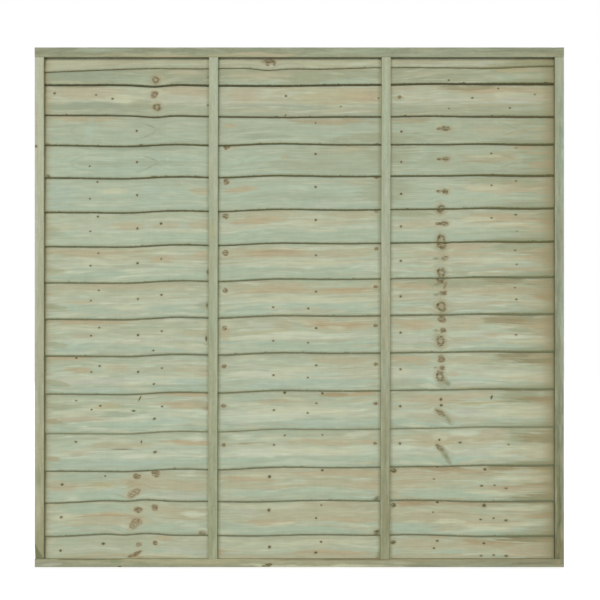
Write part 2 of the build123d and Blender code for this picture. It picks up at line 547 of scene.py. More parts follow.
# A branch shows on every board that it runs through, at nearly the same place: its kind,
# the first and the last board, along and above on each of those, its half length and half
# height on each, and its turn in degrees
branches = (
    ("ring", 6, 9, (1407, -4), (1406, 31), (13, 19), (14, 19), 15),
    ("ring", 10, 11, (1404, 42), (1402, 50), (13, 17), (13, 17), 20),
    ("ring", 8, 9, (1408, 128), (1407, 143), (15, 24), (16, 28), 0),
    ("disc", 10, 11, (1407, 117), (1406, 111), (14, 13), (12, 12), 0),
    ("dark", 7, 11, (1397, 20), (1392, 56), (5, 8), (4, 6), -30),
    ("soft", 4, 8, (1422, 56), (1417, 71), (15, 9), (13, 9), 0),
    ("soft", 9, 11, (1414, 77), (1409, 79), (12, 8), (9, 7), 0),
    ("soft", 4, 7, (1402, 56), (1400, 67), (11, 4.5), (11, 4.5), 0),
    ("stain", 8, 11, (1390, 70), (1388, 80), (12, 6), (10, 5), 0),
    ("disc", 5, 13, (661, 109), (650, 87), (11, 10), (7, 6), 0),
    ("disc", 6, 13, (1182, 116), (1177, 85), (8, 6), (7, 5), 0),
    ("pin", 4, 11, (350, 55), (355, 79), (4, 4), (4, 4), 0),
    ("pin", 6, 12, (213, 109), (223, 98), (4, 3), (4, 3), 0),
    ("pin", 5, 12, (187, 44), (193, 85), (3.5, 3), (3.5, 3), 0),
    ("pin", 7, 12, (434, 77), (438, 89), (4, 4), (4, 3), 0),
    ("pin", 10, 13, (408, 18), (413, 64), (4, 3), (6, 4), 20),
    ("pin", 11, 13, (140, 127), (138, 104), (4, 3), (4, 3), 0),
    ("pin", 8, 10, (597, 32), (591, 57), (4, 10), (4, 9), 0),
    ("pin", 4, 12, (970, 77), (973, 92), (4, 4), (4, 3), 0),
    ("pin", 9, 13, (823, 31), (826, 80), (4, 3), (4, 3), 0),
    ("pin", 9, 12, (945, 27), (943, 58), (3.5, 3), (3.5, 3), 0),
    ("pin", 12, 13, (863, 128), (863, 112), (5, 4), (4, 3), 20),
    ("pin", 12, 13, (994, 126), (994, 115), (5, 4), (4, 3), 0),
    ("pin", 4, 13, (1268, 47), (1263, 83), (4, 4), (4.5, 4), 0),
    ("pin", 5, 7, (1580, 79), (1581, 85), (4, 3), (4, 3), 0),
    ("pin", 5, 9, (1667, 100), (1662, 95), (6, 3), (5, 3), 0),
    ("pin", 7, 10, (1669, 40), (1665, 62), (4, 3), (4, 3), 0),
    ("disc", 14, 15, (350, 83), (352, 85), (13, 10), (14, 11), 0),
    ("disc", 14, 15, (414, 95), (414, 94), (13, 13), (11, 11), 0),
    ("striped", 14, 15, (342, 29), (345, 39), (23, 13), (24, 15), 30),
    ("dark", 14, 15, (1181, 10), (1181, 12), (11, 8), (11, 10), 35),
    ("dark", 14, 15, (1241, 105), (1240, 104), (10, 7), (9, 7), 0),
    ("pin", 14, 15, (91, 66), (88, 68), (5, 4), (5, 4), 0),
    ("pin", 14, 15, (810, 88), (808, 90), (5, 5), (5, 5), 0),
    ("pin", 14, 15, (994, 106), (990, 104), (5, 4), (4, 3), 0),
    ("pin", 14, 15, (1393, 119), (1393, 116), (6, 4), (5, 4), 0),
    ("pin", 14, 15, (1381, 76), (1378, 81), (5, 3), (4, 3), 0),
    ("pin", 14, 15, (1558, 114), (1555, 110), (6, 5), (7, 6), 0),
    ("pin", 14, 15, (1546, 57), (1543, 61), (5, 3), (5, 3), 0),
    ("pin", 14, 15, (1591, 59), (1588, 66), (4, 3), (4, 3), 0),
    ("pin", 14, 15, (1631, 49), (1630, 58), (7, 4), (7, 4), 0),
)

# The arched grain of boards 4 and 5, and the fine cracks that cross it
crossing_grain = (
    ("arch", 270, 54, 150, 34, 0), ("arch", 250, 56, 110, 20, 0), ("arch", 560, 54, 140, 36, 0),
    ("arch", 590, 54, 130, 22, 0), ("line", 396, 40, 26, 1.6, 24), ("line", 400, 68, 26, 1.6, -24),
    ("line", 1640, 40, 30, 1.6, 20), ("line", 1640, 68, 30, 1.6, -20),
    ("line", 1705, 54, 24, 1.6, 8),
)

# Knots that only one board shows: kind, along, above, half length, half height, turn
single_knots = {
    1: (("dark", 803, 24, 7, 10, 15), ("dark", 828, 25, 6, 10, -15), ("soft", 808, 31, 20, 7, 0)),
    2: (("ring", 416, 26, 12, 12, 0), ("pin", 597, 31, 4, 3, 0), ("pin", 1432, 15, 4, 3, 0)),
    3: (
        ("disc", 411, 81, 13, 11, 45), ("ring", 421, 36, 13, 11, 0), ("pin", 65, 78, 5, 4, 0),
        ("pin", 209, 73, 4, 3, 0), ("pin", 266, 60, 4, 3, 0), ("pin", 597, 41, 4, 4, 0),
        ("pin", 867, 76, 4, 4, 0), ("pin", 866, 9, 4, 3, 0), ("pin", 1058, 37, 4, 3, 0),
        ("pin", 1189, 66, 4, 4, 0), ("disc", 1262, 70, 6, 5, 0), ("pin", 1433, 28, 4, 3, 0),
        ("pin", 1604, 101, 4, 3, 0), ("pin", 1731, 81, 4, 3, 0), ("pin", 1514, 67, 4, 3, 0),
        ("pin", 1644, 33, 4, 3, 0),
    ),
    4: (*crossing_grain, ("pin", 42, 5, 9, 4, -20)),
    5: (*crossing_grain, ("pin", 44, 7, 9, 5, -30), ("pin", 415, 4, 6, 3, 0), ("pin", 555, 4, 5, 3, 0)),
    7: (("ring", 1404, 122, 12, 18, 0),),
    9: (("soft", 1420, 106, 5, 14, -25), ("stain", 1392, 108, 16, 7, 10)),
    11: (("stain", 1422, 30, 20, 9, -45),),
    12: (
        ("pin", 360, 121, 9, 2.5, 60), ("pin", 339, 80, 6, 3, 0), ("pin", 1405, 100, 5, 6.5, 0),
        ("pin", 1406, 80, 5, 4.5, 0), ("soft", 1403, 54, 16, 9, -35), ("stain", 1424, 36, 24, 9, -45),
    ),
    13: (
        ("pin", 1400, 94, 4, 4, 0), ("soft", 1400, 67, 14, 7, -40), ("stain", 1421, 38, 32, 10, -60),
        ("pin", 366, 103, 3, 5, 0), ("pin", 1471, 83, 6, 4, 0), ("pin", 1640, 76, 4, 3, 0),
    ),
    14: (("pin", 240, 87, 4, 3, 0),),
    15: (("disc", 576, 8, 12, 9, 0), ("pin", 972, 59, 4, 4, 0)),
    16: (
        ("disc", 355, 63, 10, 8, 0), ("disc", 414, 67, 8, 8, 0), ("disc", 346, 30, 24, 7, 18),
        ("dark", 1240, 71, 9, 7, 0), ("pin", 86, 50, 4, 4, 0), ("pin", 234, 66, 6, 4, 0),
        ("pin", 810, 58, 5, 5, 0), ("pin", 989, 72, 4, 3, 0), ("pin", 971, 35, 6, 4, 0),
        ("pin", 1393, 76, 5, 4, 0), ("pin", 1381, 51, 4, 3, 0), ("pin", 1554, 72, 7, 5, 0),
        ("pin", 1544, 29, 5, 3, 0), ("pin", 1588, 32, 4, 3, 0), ("pin", 1631, 29, 7, 4, 0),
    ),
}

# Strokes of other tones on each board: tone, from, to, low, high and strength
board_strokes = {
    1: (
        ("tan", 190, 400, 15, 45, 0.7), ("sage", 440, 545, 0, 20, 0.6), ("tan", 1225, 1410, 12, 42, 0.6),
        ("lilac", 1535, 1580, 0, 40, 0.4), ("olive", 1560, 1710, 0, 16, 0.5),
        ("tan", 740, 890, 10, 50, 0.6), ("ochre", 1620, 1840, 0, 60, 0.8),
    ),
    2: (
        ("sage", 250, 410, 0, 52, 0.5), ("tan", 380, 450, 5, 52, 0.6), ("tan", 425, 595, 32, 58, 0.8),
        ("tan", 640, 920, 30, 58, 0.8), ("teal", 630, 870, -4, 24, 0.7), ("teal", 920, 1210, -4, 24, 0.7),
        ("olive", 860, 1100, 10, 52, 0.7), ("ochre", 1590, 1715, 42, 62, 0.9),
        ("teal", 1580, 1785, 3, 42, 0.7), ("tan", 1228, 1420, 22, 58, 0.4),
        ("shade", -60, 380, 16, 60, 0.8),
    ),
    3: (
        ("salmon", 0, 350, 52, 108, 0.6), ("cream", 230, 390, 40, 80, 0.8),
        ("salmon", 425, 605, 68, 112, 0.7), ("salmon", 635, 780, 52, 108, 0.7),
        ("ochre", 855, 1210, 42, 100, 0.6), ("orange", 1050, 1210, 48, 98, 0.7),
        ("orange", 1420, 1830, 78, 108, 0.8), ("sage", 0, 900, -6, 30, 0.4),
        ("olive", 1228, 1800, 4, 46, 0.5), ("shade", -60, 450, 20, 50, 0.9),
        ("olive", 300, 400, 24, 66, 0.7), ("ochre", 1700, 1840, 80, 104, 0.5),
        ("teal", 1590, 1800, -4, 44, 0.5), ("lilac", 1600, 1770, 40, 78, 0.6),
        ("cream", 1590, 1720, 70, 92, 0.6), ("tan", 800, 890, 76, 98, 0.7),
        ("brown", 1380, 1640, 94, 114, 0.8), ("brown", 40, 260, 92, 112, 0.5),
        ("olive", 1228, 1290, 54, 80, 0.7),
    ),
    4: (
        ("orange", 50, 310, 82, 102, 0.7), ("rust", 830, 1210, 72, 96, 0.6),
        ("rust", 1215, 1370, 72, 96, 0.5), ("blue", 170, 220, -10, 105, 0.5),
        ("orange", 635, 685, 56, 80, 0.7), ("teal", 1340, 1490, 25, 95, 0.7),
        ("cream", 1370, 1400, 36, 84, 0.5), ("cream", 1440, 1480, 36, 84, 0.5),
        ("olive", 1240, 1820, -10, 110, 0.4), ("olive", 980, 1370, 2, 46, 0.8),
        ("teal", 1620, 1790, 20, 76, 0.7), ("shade", 660, 900, 18, 42, 0.6),
        ("tan", 1500, 1600, 30, 78, 0.5), ("rust", 1770, 1820, 10, 90, 0.4),
    ),
    5: (
        ("orange", 845, 900, 54, 74, 0.6), ("tan", 970, 1210, 80, 114, 0.8),
        ("teal", 1280, 1440, 35, 95, 0.7), ("orange", 1450, 1700, 44, 86, 0.6),
        ("orange", 1510, 1670, 50, 78, 0.6), ("blue", 380, 460, 10, 100, 0.4),
        ("tan", 640, 690, 92, 118, 0.5), ("olive", 1240, 1820, -10, 120, 0.45),
        ("olive", 760, 1380, -10, 112, 0.5), ("olive", 1130, 1330, 40, 116, 0.6),
        ("teal", 1640, 1790, 20, 100, 0.7), ("shade", 60, 640, 42, 68, 0.5),
        ("cream", 1500, 1600, 62, 78, 0.5), ("rust", 1480, 1600, 48, 53, 0.5),
        ("rust", 1770, 1820, 10, 100, 0.4), ("shade", 80, 620, 98, 118, 0.6),
    ),
    6: (
        ("blue", 10, 150, -5, 118, 0.6), ("cream", 210, 325, 66, 88, 0.8), ("blue", 365, 460, 0, 112, 0.5),
        ("orange", 525, 610, 60, 86, 0.7), ("orange", 625, 780, 58, 84, 0.8),
        ("lilac", 965, 1055, 5, 45, 0.6), ("orange", 1450, 1820, 52, 92, 0.7),
        ("tan", 1060, 1200, 84, 114, 0.5), ("olive", 1120, 1330, 10, 122, 0.6),
        ("olive", 1440, 1810, 86, 122, 0.8), ("sage", 1440, 1790, 24, 48, 0.8),
        ("shade", 640, 1200, 26, 70, 0.35), ("cream", 1470, 1640, 62, 86, 0.8),
        ("rust", 1440, 1700, 87, 91, 0.4), ("cream", 1660, 1790, 52, 72, 0.5),
    ),
    7: (
        ("orange", 250, 395, 56, 88, 0.6), ("orange", 400, 515, 58, 88, 0.5),
        ("orange", 520, 610, 58, 92, 0.6), ("orange", 635, 900, 64, 98, 0.8),
        ("cream", 855, 1000, 54, 86, 0.7), ("tan", 970, 1210, 86, 120, 0.9),
        ("tan", 1225, 1420, 44, 78, 0.8), ("orange", 1470, 1715, 66, 108, 0.8),
        ("rust", 1690, 1880, 46, 112, 0.7), ("teal", 0, 620, -10, 52, 0.5),
        ("teal", 620, 1840, -12, 46, 0.5), ("tan", 640, 980, 88, 116, 0.7),
        ("olive", 1220, 1400, 84, 118, 0.8), ("tan", 860, 1200, 68, 92, 0.6),
        ("cream", 1500, 1780, 46, 70, 0.7), ("sage", 1440, 1760, 24, 46, 0.7),
        ("olive", 20, 100, 26, 70, 0.5), ("cream", 1470, 1600, 72, 96, 0.8),
        ("cream", 1560, 1760, 52, 68, 0.8), ("rust", 1500, 1640, 70, 76, 0.4),
    ),
    8: (
        ("orange", 0, 420, 88, 120, 0.7), ("orange", 395, 480, 66, 98, 0.8),
        ("orange", 520, 610, 78, 112, 0.7), ("orange", 645, 990, 72, 112, 0.9),
        ("rust", 745, 895, 80, 106, 0.45), ("tan", 950, 1210, 76, 112, 0.8),
        ("salmon", 1400, 1610, 98, 126, 0.9), ("rust", 1640, 1880, 44, 100, 0.75),
        ("teal", 0, 1500, -14, 42, 0.5), ("cream", 640, 1210, 48, 74, 0.5), ("cream", 80, 560, 52, 80, 0.4),
        ("olive", 1560, 1760, 92, 126, 0.9), ("salmon", 60, 1210, 70, 96, 0.45),
        ("orange", 1240, 1640, 72, 98, 0.6), ("tan", 640, 740, 92, 118, 0.8),
        ("olive", 20, 100, 26, 56, 0.7), ("shade", 200, 460, 50, 66, 0.5),
        ("cream", 1500, 1790, 50, 76, 0.6), ("olive", 1430, 1510, 8, 36, 0.7),
        ("cream", 220, 330, 82, 100, 0.8), ("teal", 430, 520, 40, 62, 0.7),
    ),
    9: (
        ("tan", 0, 610, 100, 130, 0.9), ("sage", 870, 1190, 110, 134, 0.8),
        ("orange", 690, 970, 80, 110, 0.7), ("orange", 965, 1210, 80, 110, 1.0),
        ("rust", 1020, 1190, 86, 104, 0.3), ("orange", 1220, 1420, 90, 118, 0.8),
        ("tan", 1400, 1665, 72, 118, 0.7), ("rust", 1680, 1880, 44, 96, 0.95),
        ("salmon", 85, 225, 52, 72, 0.6), ("cream", 260, 395, 28, 50, 0.8),
        ("salmon", 1228, 1390, 56, 76, 0.4), ("cream", 645, 1210, 44, 66, 0.5),
        ("olive", 1240, 1700, 94, 132, 0.8), ("orange", 660, 1300, 74, 98, 0.6),
        ("orange", 1500, 1830, 66, 98, 0.6), ("cream", 640, 1300, 48, 72, 0.6),
        ("tan", 640, 740, 92, 120, 0.7), ("olive", 20, 100, 26, 56, 0.8),
        ("cream", 1660, 1800, 26, 52, 0.5), ("umber", 1560, 1700, 104, 136, 0.5),
        ("teal", 1560, 1720, 16, 38, 0.7), ("shade", 550, 620, 24, 64, 0.7),
        ("cream", 1580, 1670, 48, 70, 0.8), ("cream", 1480, 1570, 86, 102, 0.6),
        ("umber", 1680, 1860, 90, 124, 0.6),
    ),
    10: (
        ("orange", 10, 345, 108, 132, 0.8), ("sage", 330, 445, 98, 128, 0.6),
        ("salmon", 105, 215, 62, 84, 0.6), ("salmon", 265, 395, 42, 64, 0.7),
        ("orange", 485, 610, 66, 92, 0.4), ("blue", 40, 210, 12, 42, 0.6), ("tan", 790, 890, 70, 118, 0.7),
        ("orange", 900, 1210, 80, 116, 0.95), ("rust", 960, 1190, 90, 106, 0.35),
        ("lilac", 735, 825, 84, 110, 0.6), ("ochre", 640, 940, 62, 82, 0.6),
        ("orange", 625, 668, 46, 104, 0.7), ("cream", 640, 1010, 46, 68, 0.7),
        ("teal", 640, 1210, 4, 46, 0.6), ("orange", 1220, 1390, 92, 114, 0.8),
        ("orange", 1285, 1360, 80, 100, 0.7), ("lilac", 1220, 1400, 32, 58, 0.7),
        ("tan", 1430, 1585, 78, 126, 0.8), ("sage", 1545, 1625, 82, 104, 0.7),
        ("rust", 1575, 1665, 106, 130, 0.6), ("rust", 1630, 1730, 94, 122, 0.7),
        ("rust", 1680, 1900, 40, 130, 0.5), ("salmon", 1530, 1670, 46, 72, 0.7),
        ("olive", 1620, 1760, 112, 132, 0.9), ("brown", 1550, 1700, 94, 136, 0.8),
        ("orange", 1690, 1840, 70, 124, 0.8), ("orange", 1240, 1400, 74, 100, 0.6),
        ("white", 650, 1180, 50, 76, 0.7), ("cream", 1620, 1800, 26, 54, 0.8),
        ("olive", 20, 100, 26, 52, 0.7), ("white", 1560, 1730, 40, 62, 0.7),
        ("olive", 1630, 1710, 66, 92, 0.7), ("umber", 1620, 1860, 94, 128, 0.45),
        ("white", 280, 380, 42, 62, 0.7), ("cream", 1000, 1100, 84, 100, 0.7),
        ("sage", 1330, 1400, 44, 80, 0.7),
    ),
    11: (
        ("orange", 10, 210, 116, 138, 0.8), ("sage", 310, 380, 102, 126, 0.7),
        ("orange", 85, 205, 76, 98, 0.8), ("salmon", 230, 345, 74, 104, 0.6),
        ("orange", 460, 610, 74, 98, 0.4), ("salmon", 540, 610, 56, 78, 0.7),
        ("lilac", 30, 380, 36, 58, 0.8), ("blue", 140, 340, 10, 36, 0.7), ("blue", 435, 610, 32, 54, 0.7),
        ("tan", 915, 1210, 92, 128, 0.9), ("sage", 760, 950, 76, 102, 0.5),
        ("lilac", 695, 770, 78, 102, 0.6), ("salmon", 685, 790, 48, 76, 0.5),
        ("cream", 770, 955, 52, 78, 0.7), ("blue", 640, 1210, 8, 46, 0.6),
        ("orange", 1220, 1390, 96, 122, 0.8), ("salmon", 1300, 1370, 82, 102, 0.7),
        ("lilac", 1220, 1395, 44, 72, 0.7), ("tan", 1415, 1615, 92, 128, 0.8),
        ("olive", 1555, 1670, 80, 112, 0.6), ("rust", 1650, 1890, 90, 124, 0.7),
        ("umber", 1600, 1800, 104, 138, 0.8), ("sage", 1640, 1755, 66, 88, 0.7),
        ("salmon", 1415, 1490, 46, 70, 0.7), ("lilac", 1440, 1555, 18, 44, 0.6),
        ("brown", 1590, 1690, 98, 130, 0.6), ("orange", 1690, 1850, 72, 126, 0.9),
        ("white", 640, 840, 52, 78, 0.8), ("cream", 1240, 1310, 52, 78, 0.7),
        ("white", 1590, 1850, 26, 56, 0.9), ("olive", 20, 100, 26, 52, 0.8),
        ("umber", 1640, 1870, 88, 112, 0.9), ("cream", 1570, 1800, 24, 64, 0.7),
        ("olive", 1380, 1450, 8, 36, 0.7),
    ),
    12: (
        ("orange", 400, 620, 126, 146, 1.0), ("olive", 10, 160, 80, 110, 0.7),
        ("ochre", 190, 310, 80, 106, 0.7), ("orange", 410, 615, 80, 110, 0.8),
        ("rust", 555, 620, 70, 98, 0.8), ("cream", 50, 170, 64, 84, 0.8), ("salmon", 30, 255, 42, 66, 0.7),
        ("rust", 20, 85, 34, 56, 0.7), ("white", 280, 425, 44, 70, 0.9), ("white", 640, 1110, 44, 80, 0.8),
        ("blue", 365, 545, 28, 50, 0.7), ("rust", 975, 1115, 114, 132, 0.9),
        ("orange", 1085, 1215, 110, 134, 1.0), ("teal", 635, 845, 96, 130, 0.7),
        ("salmon", 745, 905, 88, 110, 0.7), ("sage", 990, 1160, 80, 102, 0.6),
        ("cream", 720, 1160, 52, 80, 0.8), ("lilac", 650, 775, 22, 46, 0.7),
        ("blue", 780, 1215, 10, 38, 0.7), ("salmon", 1425, 1610, 104, 132, 0.7),
        ("ochre", 1440, 1665, 84, 97, 0.9), ("salmon", 1640, 1710, 116, 134, 0.7),
        ("rust", 1690, 1890, 72, 110, 0.6), ("lilac", 1465, 1575, 42, 78, 0.7),
        ("olive", 1600, 1780, 76, 138, 0.9), ("salmon", 1375, 1600, 22, 44, 0.5),
        ("teal", 1420, 1850, -4, 26, 0.6), ("split", 1595, 1600, 98, 118, 1.0),
        ("split", 1590, 1655, 88, 90.5, 0.5), ("cream", 1540, 1850, 28, 80, 0.95),
        ("orange", 1230, 1520, 78, 126, 0.6), ("shade", 190, 380, 54, 76, 0.7),
        ("white", 640, 980, 30, 60, 0.6), ("olive", 20, 100, 28, 52, 0.5),
        ("umber", 1650, 1870, 86, 112, 0.8), ("sage", 320, 430, 62, 102, 0.8),
    ),
    13: (
        ("tan", 165, 280, 76, 98, 0.8), ("orange", 415, 620, 84, 108, 1.0),
        ("salmon", 550, 620, 94, 114, 0.7), ("sage", 325, 435, 104, 132, 0.7),
        ("rust", 20, 90, 36, 56, 0.6), ("salmon", 80, 210, 56, 78, 0.5), ("white", 280, 420, 38, 62, 0.9),
        ("white", 640, 1110, 40, 72, 0.8), ("blue", 30, 610, 10, 44, 0.7),
        ("orange", 810, 1210, 76, 104, 0.7), ("cream", 730, 1210, 46, 74, 0.8),
        ("teal", 640, 1210, 10, 38, 0.7), ("orange", 1140, 1210, 78, 102, 0.6),
        ("ochre", 1300, 1500, 74, 100, 0.8), ("sage", 1640, 1735, 80, 106, 0.7),
        ("rust", 1740, 1880, 66, 108, 0.6), ("olive", 1600, 1760, 108, 134, 0.8),
        ("white", 1220, 1400, 54, 82, 0.7), ("teal", 1220, 1440, 12, 42, 0.7),
        ("lilac", 1490, 1600, 34, 68, 0.6), ("cream", 1580, 1660, 22, 66, 0.7),
        ("salmon", 1620, 1820, 26, 62, 0.6), ("olive", 1610, 1880, -6, 20, 0.6),
        ("split", 262, 348, 77.5, 81, 1.0), ("split", 640, 800, 88, 91, 0.6),
        ("rust", 645, 800, 84, 94, 0.4), ("tan", 200, 450, 76, 102, 0.8), ("white", 640, 860, 50, 80, 0.6),
        ("orange", 1240, 1700, 76, 122, 0.5), ("cream", 1650, 1850, 28, 76, 1.0),
        ("white", 780, 1100, 4, 32, 0.4), ("olive", 1640, 1770, 72, 122, 0.8),
        ("umber", 1670, 1870, 72, 122, 0.8), ("umber", 1640, 1870, -4, 20, 0.7),
        ("salmon", 1550, 1660, 104, 136, 0.7), ("tan", 1280, 1410, 58, 98, 0.8),
        ("cream", 1380, 1450, 92, 128, 0.6), ("white", 1420, 1570, 106, 130, 0.7),
        ("white", 640, 740, 100, 124, 0.7), ("white", 490, 590, 98, 122, 0.7),
    ),
    14: (
        ("teal", 20, 340, 72, 104, 0.9), ("salmon", 20, 165, 36, 74, 0.7), ("ochre", 175, 275, 48, 72, 0.7),
        ("salmon", 260, 335, 58, 80, 0.7), ("tan", 405, 620, 40, 84, 1.0), ("blue", 200, 310, 20, 46, 0.7),
        ("lilac", 415, 615, 14, 38, 0.7), ("orange", 625, 835, 72, 98, 0.9),
        ("tan", 800, 1210, 86, 112, 0.9), ("cream", 640, 1000, 84, 110, 0.5),
        ("tan", 625, 790, 44, 76, 0.7), ("orange", 1080, 1210, 46, 70, 0.8),
        ("tan", 930, 1110, 50, 84, 0.7), ("teal", 630, 1210, 8, 46, 0.7),
        ("rust", 1300, 1500, 98, 122, 0.75), ("orange", 1220, 1340, 52, 78, 0.9),
        ("tan", 1220, 1510, 62, 100, 0.8), ("teal", 1230, 1610, 6, 36, 0.8),
        ("salmon", 1530, 1720, 40, 62, 0.8), ("rust", 1650, 1890, 42, 70, 0.9),
        ("ochre", 1690, 1890, 88, 128, 0.8), ("cream", 1600, 1725, 72, 100, 0.7),
        ("olive", 420, 620, 30, 34, 0.5), ("orange", 820, 1400, 84, 110, 0.6),
        ("rust", 1330, 1640, 88, 112, 0.6), ("cream", 1680, 1820, 62, 90, 0.9),
        ("tan", 290, 470, 40, 90, 0.9), ("tan", 640, 1640, 44, 68, 0.6), ("cream", 1450, 1740, 26, 46, 0.7),
        ("teal", 1230, 1600, 8, 36, 0.7), ("rust", 40, 300, 54, 59, 0.4), ("rust", 1600, 1860, 56, 62, 0.5),
        ("salmon", 1240, 1380, 84, 110, 0.6), ("umber", 1640, 1870, -8, 34, 0.9),
        ("salmon", 1560, 1790, 38, 56, 0.8), ("cream", 1640, 1730, 70, 90, 0.7),
        ("tan", 1640, 1800, 88, 106, 0.7), ("umber", 1570, 1690, 106, 126, 0.7),
        ("umber", 1700, 1870, 104, 128, 0.8), ("rust", 290, 370, 42, 74, 0.5),
    ),
    15: (
        ("teal", 20, 350, 80, 114, 0.9), ("cream", 30, 185, 46, 82, 0.7), ("orange", 150, 340, 58, 80, 0.8),
        ("salmon", 190, 295, 42, 60, 0.6), ("tan", 410, 620, 54, 108, 0.9), ("teal", 280, 615, 8, 42, 0.7),
        ("tan", 860, 1210, 90, 120, 0.9), ("cream", 640, 1000, 90, 118, 0.5),
        ("orange", 690, 950, 40, 66, 0.8), ("orange", 955, 1210, 48, 70, 0.8),
        ("lilac", 690, 775, 74, 100, 0.6), ("teal", 640, 1210, 4, 38, 0.8),
        ("rust", 1220, 1390, 98, 124, 0.9), ("rust", 1335, 1670, 100, 124, 0.6),
        ("orange", 1360, 1660, 32, 56, 0.8), ("sage", 1470, 1630, 74, 98, 0.6),
        ("rust", 1670, 1890, 56, 88, 0.9), ("lilac", 1640, 1800, 32, 54, 0.6),
        ("blue", 1220, 1350, 12, 36, 0.7), ("teal", 1460, 1690, 4, 28, 0.7),
        ("tan", 640, 1800, 40, 112, 0.4), ("cream", 1420, 1760, 26, 50, 0.9), ("tan", 60, 460, 26, 68, 0.7),
        ("cream", 1690, 1830, 88, 114, 0.8), ("tan", 640, 1600, 48, 88, 0.4),
        ("teal", 1240, 1400, 8, 34, 0.7), ("rust", 130, 350, 66, 71, 0.5),
        ("rust", 1240, 1600, 74, 79, 0.4), ("blue", 1600, 1800, 18, 40, 0.5),
        ("umber", 1640, 1870, 108, 136, 0.8), ("cream", 1580, 1780, 38, 56, 0.8),
        ("shade", 1690, 1800, 16, 38, 0.8), ("umber", 1740, 1870, -4, 22, 0.8),
        ("cream", 1580, 1780, 90, 106, 0.9), ("cream", 1370, 1500, 38, 58, 0.9),
        ("white", 490, 590, 70, 94, 0.7), ("cream", 790, 900, 40, 56, 0.8), ("rust", 290, 380, 52, 68, 0.5),
    ),
    16: (
        ("sage", 40, 180, 68, 96, 0.7), ("tan", 20, 330, 14, 38, 0.8), ("lilac", 410, 615, 38, 60, 0.6),
        ("orange", 410, 490, 74, 98, 0.7), ("cream", 320, 620, 20, 40, 0.7),
        ("sage", 650, 940, 52, 84, 0.5), ("cream", 640, 1200, 60, 84, 0.6),
        ("orange", 830, 1210, 24, 50, 0.9), ("orange", 625, 670, 26, 54, 0.8),
        ("orange", 1355, 1440, 80, 102, 0.7), ("tan", 1220, 1410, 32, 88, 0.8),
        ("orange", 1640, 1890, 62, 98, 0.9), ("salmon", 1580, 1820, 24, 58, 0.8),
        ("tan", 1420, 1560, 40, 90, 0.5), ("rust", 1440, 1700, 56, 90, 0.8), ("tan", -20, 1830, 2, 36, 0.8),
        ("rust", 300, 560, 4, 30, 0.3), ("cream", 820, 1080, 0, 22, 0.6), ("tan", 1220, 1700, 50, 74, 0.6),
        ("split", 1250, 1500, 2, 6, 0.3), ("rust", 60, 340, 20, 24, 0.4), ("rust", 290, 390, 12, 26, 0.6),
        ("umber", 1560, 1810, -4, 26, 0.7), ("salmon", 1610, 1750, 44, 66, 0.9),
        ("umber", 1550, 1870, 72, 98, 0.9), ("umber", 1180, 1225, -4, 92, 0.7),
        ("cream", 50, 210, -4, 12, 0.8), ("rust", 280, 400, 12, 28, 0.5),
    ),
}


def knots_of(number):
    """The knots of one board: its own, and those of the branches that run through it."""
    found = list(single_knots.get(number, ()))
    for kind, first, last, at_first, at_last, size_first, size_last, turn in branches:
        if first <= number <= last:
            share = (number - first) / (last - first)
            along, above = (a + (b - a) * share for a, b in zip(at_first, at_last))
            halves = [a + (b - a) * share for a, b in zip(size_first, size_last)]
            found.append((kind, along, above, *halves, turn))
    return found


def gap_to_upright(tree, along):
    """How far a place on a board is from the nearest upright of the front frame."""
    nearest = 1.0
    for name in ("left_stile", "batten_1", "batten_2", "right_stile"):
        low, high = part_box("front_" + name)
        offset = calculate(tree, "ABSOLUTE", calculate(tree, "SUBTRACT", along, (low.x + high.x) / 2))
        gap = calculate(tree, "SUBTRACT", offset, (high.x - low.x) / 2)
        nearest = calculate(tree, "MINIMUM", nearest, gap)
    return nearest


def stains_and_upright_shade(tree, number, place, along, swayed, colour):
    """Brown and green stains towards the right stile, and painted shade beside every upright."""
    streak = streaks(tree, place, 0.16, 9 * mm, number * 19)
    frayed = calculate(tree, "MULTIPLY_ADD", streak, 0.45, along)
    mossy = spread(tree, streaks(tree, place, 0.09, 12 * mm, number * 23), 0.42, 0.58)
    stain = blend(tree, mossy, light_of(tones["rust"]), light_of(tones["green stain"]))
    stained = spread(tree, frayed, *right_stain, 0, right_shades[number - 1])
    colour = blend(tree, stained, colour, stain)
    damp = spread(tree, frayed, *right_damp, 0, 0.55)
    damp = calculate(tree, "MULTIPLY", damp, spread(tree, swayed, 30 * mm, 10 * mm))
    colour = blend(tree, damp, colour, light_of(tones["damp"]))
    strip = spread(tree, along, *right_strip, 0, 0.65)
    colour = blend(tree, strip, colour, light_of(tones["brown stain"]))

    # The rust-toned corners beside the left stile, and painted shade on the boards beside every upright
    corner = calculate(tree, "MULTIPLY_ADD", streak, 0.04, along)
    colour = blend(tree, spread(tree, corner, *left_corner, 0, 0.5), colour, light_of(tones["rust"]))
    # Painted shade: a darker band on the boards along both sides of every upright, frayed by the grain
    gap = calculate(tree, "MULTIPLY_ADD", streak, 8 * mm, gap_to_upright(tree, along))
    upright_shade = spread(tree, gap, 15 * mm, 5 * mm, 0, 0.45)
    return blend(tree, upright_shade, colour, light_of(tones["upright shade"]))


